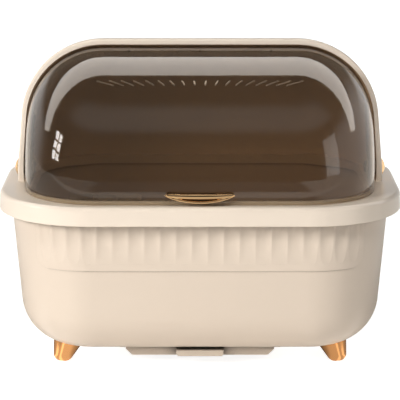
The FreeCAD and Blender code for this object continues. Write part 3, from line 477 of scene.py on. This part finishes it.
class DRYBOX_OT_lid_pull(bpy.types.Operator):
    """Make the lid's pull with softly rolled lips"""

    bl_idname = "drybox.lid_pull"
    bl_label = "Lid pull"

    def execute(self, context):
        """Sets the CAD pull back as a web, joins the two lips to it and evens the skin."""
        pull = box_settings().pull
        piece = copied("lid_handle", "rolled_pull")
        bpy.ops.object.mode_set(mode="EDIT")
        bpy.ops.mesh.select_all(action="SELECT")
        bpy.ops.mesh.remove_doubles(threshold=WELD)
        low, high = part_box("lid_handle")
        bpy.ops.transform.resize(
            value=(WEB_WIDTH, 1 - pull.proud / (high.y - low.y), WEB_HEIGHT),
            center_override=(0, high.y, (low.z + high.z) / 2))
        bpy.ops.object.mode_set(mode="OBJECT")
        half = high.x
        upper_z = high.z - pull.upper_height / 2 - pull.upper_sag
        lower_z = low.z + pull.lower_height / 2
        upper = self.rolled_bar("upper_lip", half, low.y, upper_z, pull.upper_height,
                                pull.upper_depth, pull.upper_sag)
        lower = self.rolled_bar("lower_lip", half * LOWER_LIP_WIDTH, low.y, lower_z,
                                pull.lower_height, pull.lower_depth, upper_z - lower_z)
        bpy.ops.object.select_all(action="DESELECT")
        for part in (upper, lower, piece):
            part.select_set(True)
        bpy.context.view_layer.objects.active = piece
        bpy.ops.object.join()
        remesh = piece.modifiers.new("even", "REMESH")
        remesh.mode = "VOXEL"
        remesh.voxel_size = pull.grain
        bpy.ops.object.modifier_apply(modifier="even")
        soften = piece.modifiers.new("soften", "SMOOTH")
        soften.factor = 0.5
        soften.iterations = pull.softening
        bpy.ops.object.modifier_apply(modifier="soften")
        bpy.ops.object.shade_smooth()
        piece.data.materials.clear()
        # Plating with painted shade behind the lips
        piece.data.materials.append(plated_metal(
            "pull_gold", tuple(box_settings().finish.rose_gold), POLISHED,
            painted_shade_from=low.y + pull.proud * RECESS_SHADE_START))
        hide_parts("lid_handle")
        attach(piece, "lid")
        return {"FINISHED"}

    def rolled_bar(self, name, half, front, middle_z, height, depth, rise):
        """Bar across the pull that rises to its ends, rounded all round."""
        rings = []
        for step in range(LIP_RINGS + 1):
            u = -math.cos(math.pi * step / LIP_RINGS)
            fullness = max(LIP_END, (1 - abs(u) ** LIP_BLUNTNESS) ** 0.5)
            rings.append((u * half, middle_z + rise * u * u,
                          fullness * (1 - LIP_TAPER * u * u)))
        bpy.ops.object.select_all(action="DESELECT")
        x, z, scale = rings[0]
        bpy.ops.mesh.primitive_circle_add(
            vertices=LIP_SIDES, radius=height / 2 * scale, fill_type="NGON",
            location=(x, front + depth / 2, z), rotation=(0, -math.pi / 2, 0))
        bar = bpy.context.object
        bar.name = name
        bpy.ops.object.transform_apply(location=True, rotation=True, scale=True)
        bpy.ops.object.mode_set(mode="EDIT")
        bpy.ops.mesh.select_mode(type="FACE")
        bpy.ops.mesh.select_all(action="SELECT")
        bpy.ops.transform.resize(value=(1, depth / height, 1),
                                 center_override=(x, front + depth / 2, z))
        for next_x, next_z, next_scale in rings[1:]:
            bpy.ops.mesh.extrude_region_move(
                TRANSFORM_OT_translate={"value": (next_x - x, 0, next_z - z)})
            bpy.ops.transform.resize(value=(1, next_scale / scale, next_scale / scale),
                                     center_override=(next_x, front + depth / 2, next_z))
            x, z, scale = next_x, next_z, next_scale
        bpy.ops.mesh.select_all(action="SELECT")
        bpy.ops.mesh.normals_make_consistent(inside=False)
        bpy.ops.object.mode_set(mode="OBJECT")
        return bar


class DRYBOX_OT_stage(bpy.types.Operator):
    """Make the pale floor, the white surround, the lamps and the camera"""

    bl_idname = "drybox.stage"
    bl_label = "Stage"

    def execute(self, context):
        """Makes the stage and sets the plain view transform."""
        studio = box_settings().studio
        self.make_floor(studio)
        self.make_world(studio)
        self.make_lamps(studio)
        self.make_camera(studio)
        context.scene.view_settings.view_transform = "Standard"
        return {"FINISHED"}

    def make_floor(self, studio):
        """Floor that is plain and pale to the camera, and light and dark in reflections."""
        bpy.ops.object.select_all(action="DESELECT")
        bpy.ops.mesh.primitive_plane_add(size=FLOOR_SIZE, location=(0, 0, 0))
        floor = bpy.context.object
        floor.name = "studio_floor"
        material, tree = new_material("studio_floor")
        shader = tree.nodes.new("ShaderNodeBsdfPrincipled")
        shader.inputs["Base Color"].default_value = tuple(studio.floor_colour) + (1,)
        shader.inputs["Roughness"].default_value = FLOOR_ROUGHNESS
        x, y, _ = axes(tree, "Object")
        away = maths(tree, "POWER", maths(tree, "ADD", maths(tree, "MULTIPLY", x, x),
                                          maths(tree, "MULTIPLY", y, y)), 0.5)
        reach = studio.glow_radius
        far = ramped(tree, away, reach, reach * NEAR_END, NEAR_WHITE, 1.0)
        path = tree.nodes.new("ShaderNodeLightPath")
        level = maths(tree, "MAXIMUM", maths(tree, "MULTIPLY", path.outputs["Is Camera Ray"], far),
                      studio.bounce_level)
        white = tree.nodes.new("ShaderNodeEmission")
        tree.links.new(level, white.inputs["Strength"])
        lit = tree.nodes.new("ShaderNodeAddShader")
        tree.links.new(shader.outputs[0], lit.inputs[0])
        tree.links.new(white.outputs[0], lit.inputs[1])
        left_ramp = [-place for place in SIDE_RAMP]
        around = greatest(
            tree,
            ramped(tree, x, *SIDE_RAMP, 0.0, studio.side_level),
            ramped(tree, x, *left_ramp, 0.0, studio.side_level * LEFT_SHARE),
            ramped(tree, y, *REAR_RAMP, 0.0, studio.side_level),
            studio.glow_level,
            maths(tree, "MULTIPLY", ramped(tree, y, *BAND_START, 0.0, studio.band_level),
                  ramped(tree, y, *BAND_END)))
        glow = tree.nodes.new("ShaderNodeEmission")
        glow.inputs["Color"].default_value = GLOW_TINT
        close = ramped(tree, away, *(reach * share for share in FOOT_GLOW_FADE))
        blend = tree.nodes.new("ShaderNodeMix")
        tree.links.new(close, blend.inputs["Factor"])
        tree.links.new(self.foot_glow(tree, studio, x, y), blend.inputs["A"])
        tree.links.new(around, blend.inputs["B"])
        tree.links.new(blend.outputs["Result"], glow.inputs["Strength"])
        mix = tree.nodes.new("ShaderNodeMixShader")
        tree.links.new(path.outputs["Is Glossy Ray"], mix.inputs["Fac"])
        tree.links.new(lit.outputs[0], mix.inputs[1])
        tree.links.new(glow.outputs[0], mix.inputs[2])
        finish_surface(tree, mix)
        floor.data.materials.append(material)

    def foot_glow(self, tree, studio, x, y):
        """Stripes on the floor round the front feet, which only reflections show."""
        low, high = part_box("foot_front_right")
        centre = (low + high) / 2
        out = maths(tree, "SUBTRACT", maths(tree, "ABSOLUTE", x, 0.0), centre.x)
        ahead = maths(tree, "SUBTRACT", centre.y, y)
        turn = maths(tree, "ARCTAN2", out, ahead)
        ramp = tree.nodes.new("ShaderNodeValToRGB")
        tree.links.new(ramped(tree, turn, -math.pi, math.pi, even=True), ramp.inputs["Fac"])
        elements = ramp.color_ramp.elements
        while len(elements) < len(FOOT_STOPS):
            elements.new(0.5)
        for element, (angle, value) in zip(elements, FOOT_STOPS):
            element.position = 0.5 + angle / 360
            element.color = (value, value, value, 1)
        level = ramped(tree, x, -FOOT_SPLIT, FOOT_SPLIT,
                       studio.foot_level, studio.foot_level * RIGHT_FOOT_SHARE)
        return maths(tree, "MULTIPLY", ramp.outputs["Color"], level)

    def make_world(self, studio):
        """White surround to the camera and through the lid, dim even light elsewhere."""
        world = bpy.data.worlds.new("studio_world")
        world.use_nodes = True
        tree = world.node_tree
        tree.nodes.clear()
        x, y, z = axes(tree, "Generated")
        behind = maths(tree, "MULTIPLY", ramped(tree, y, *BEHIND_Y), ramped(tree, z, *BEHIND_Z))
        beside = maths(tree, "MULTIPLY", ramped(tree, x, *BESIDE_X),
                       ramped(tree, z, *BESIDE_Z, 0.0, studio.side_level))
        height = maths(tree, "MULTIPLY", ramped(tree, z, *AHEAD_Z, 0.0, studio.front_level),
                       ramped(tree, z, *AHEAD_TOP))
        ahead = maths(tree, "MULTIPLY", ramped(tree, y, *AHEAD_Y), height)
        path = tree.nodes.new("ShaderNodeLightPath")
        gloss = maths(tree, "MULTIPLY", path.outputs["Is Glossy Ray"],
                      greatest(tree, ahead, behind, beside))
        seen = greatest(tree, path.outputs["Is Camera Ray"],
                        path.outputs["Is Transmission Ray"], gloss)
        soft = tree.nodes.new("ShaderNodeBackground")
        soft.inputs["Color"].default_value = WARM + (1,)
        soft.inputs["Strength"].default_value = studio.world_level
        white = tree.nodes.new("ShaderNodeBackground")
        white.inputs["Color"].default_value = (1, 1, 1, 1)
        white.inputs["Strength"].default_value = 1.0
        mix = tree.nodes.new("ShaderNodeMixShader")
        out = tree.nodes.new("ShaderNodeOutputWorld")
        tree.links.new(seen, mix.inputs["Fac"])
        tree.links.new(soft.outputs[0], mix.inputs[1])
        tree.links.new(white.outputs[0], mix.inputs[2])
        tree.links.new(mix.outputs[0], out.inputs["Surface"])
        bpy.context.scene.world = world

    def make_lamps(self, studio):
        """Lamps that light the box unseen, then panels that only reflections show."""
        aim = (0, 0, COLLAR_TOP)
        lights = (
            soft_lamp("key", (-1.7, -1.5, 1.15), aim, (0.7, 0.7), studio.key_power, WARM),
            soft_lamp("high", (0.2, -1.7, 2.1), aim, (0.8, 0.6), studio.high_power, WARM),
            soft_lamp("rear", (0, 2.4, 1.2), aim, (1.4, 1.2), studio.rear_power, WARM))
        for lamp in lights:
            lamp.visible_glossy = False
            lamp.visible_transmission = False
        panels = (
            *self.window_panes(studio, Vector(WINDOW_PLACE), Vector(aim)),
            soft_lamp("strip", (0, 0.75, 1.8), (0, 0.3, 0.3), (10.0, 0.9), studio.strip_power,
                      WARM),
            soft_lamp("panel", (1.7, -1.35, 0.8), aim, (0.8, 1.2), studio.panel_power, WARM))
        for lamp in panels:
            lamp.visible_diffuse = False

    def window_panes(self, studio, place, aim):
        """Six panes of a window, with dark bars between them."""
        facing = (aim - place).normalized()
        across = facing.cross(Vector((0, 0, 1))).normalized()
        upward = across.cross(facing)
        for column in (-0.5, 0.5):
            for row in (-1, 0, 1):
                shift = across * column * PANE_PITCH[0] + upward * row * PANE_PITCH[1]
                yield soft_lamp("window_pane", place + shift, aim + shift, PANE_SIZE,
                                studio.window_power / PANES, (1, 1, 1))

    def make_camera(self, studio):
        """Long lens straight in front, tilted down, as in the photograph."""
        data = bpy.data.cameras.new("photo_camera")
        data.sensor_width = SENSOR_WIDTH
        data.lens = studio.lens
        camera = bpy.data.objects.new("photo_camera", data)
        camera.location = (0, -studio.camera_distance, COLLAR_TOP + studio.camera_rise)
        camera.rotation_euler = (math.pi / 2 - studio.camera_pitch, 0, 0)
        bpy.context.collection.objects.link(camera)
        bpy.context.scene.camera = camera


class PullSettings(bpy.types.PropertyGroup):
    """Rounding of the lid's pull."""

    grain: FloatProperty(
        name="Mesh grain", description="Cell size of the pull's even mesh", default=0.00032,
        unit="LENGTH")
    softening: IntProperty(
        name="Softening", description="Passes that soften the pull's corners", default=4)
    proud: FloatProperty(
        name="Proud", description="How far the lips stand before the web between them",
        default=0.0026, unit="LENGTH")
    upper_height: FloatProperty(
        name="Upper lip height", description="Height of the upper lip", default=0.0054,
        unit="LENGTH")
    upper_depth: FloatProperty(
        name="Upper lip depth", description="Front to back of the upper lip", default=0.0042,
        unit="LENGTH")
    upper_sag: FloatProperty(
        name="Upper lip sag", description="How far the upper lip dips in the middle",
        default=0.0012, unit="LENGTH")
    lower_height: FloatProperty(
        name="Lower lip height", description="Height of the lower lip", default=0.0026,
        unit="LENGTH")
    lower_depth: FloatProperty(
        name="Lower lip depth", description="Front to back of the lower lip", default=0.0034,
        unit="LENGTH")


class DryingBoxSettings(bpy.types.PropertyGroup):
    """All settings of the box."""

    pull: PointerProperty(type=PullSettings)
    studio: PointerProperty(type=StudioSettings)
    finish: PointerProperty(type=FinishSettings)


class DRYBOX_PT_panel(bpy.types.Panel):
    """Buttons for the pieces and the stage"""

    bl_idname = "DRYBOX_PT_panel"
    bl_label = "Drying Box"
    bl_space_type = "VIEW_3D"
    bl_region_type = "UI"
    bl_category = "Drying Box"

    def draw(self, context):
        """One button for each operator."""
        for operator in OPERATORS:
            self.layout.operator(operator.bl_idname)


OPERATORS = (DRYBOX_OT_finishes, DRYBOX_OT_lid_pull, DRYBOX_OT_stage)
CLASSES = (StudioSettings, FinishSettings, PullSettings, DryingBoxSettings, *OPERATORS,
           DRYBOX_PT_panel)


def register():
    """Adds the classes and the settings to Blender."""
    for cls in CLASSES:
        bpy.utils.register_class(cls)
    bpy.types.Scene.drying_box = PointerProperty(type=DryingBoxSettings)


def unregister():
    """Takes them out again."""
    del bpy.types.Scene.drying_box
    for cls in reversed(CLASSES):
        bpy.utils.unregister_class(cls)


def main():
    """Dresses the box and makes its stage."""
    register()
    bpy.ops.drybox.finishes()
    bpy.ops.drybox.lid_pull()
    bpy.ops.drybox.stage()


if __name__ == "__main__":
    main()
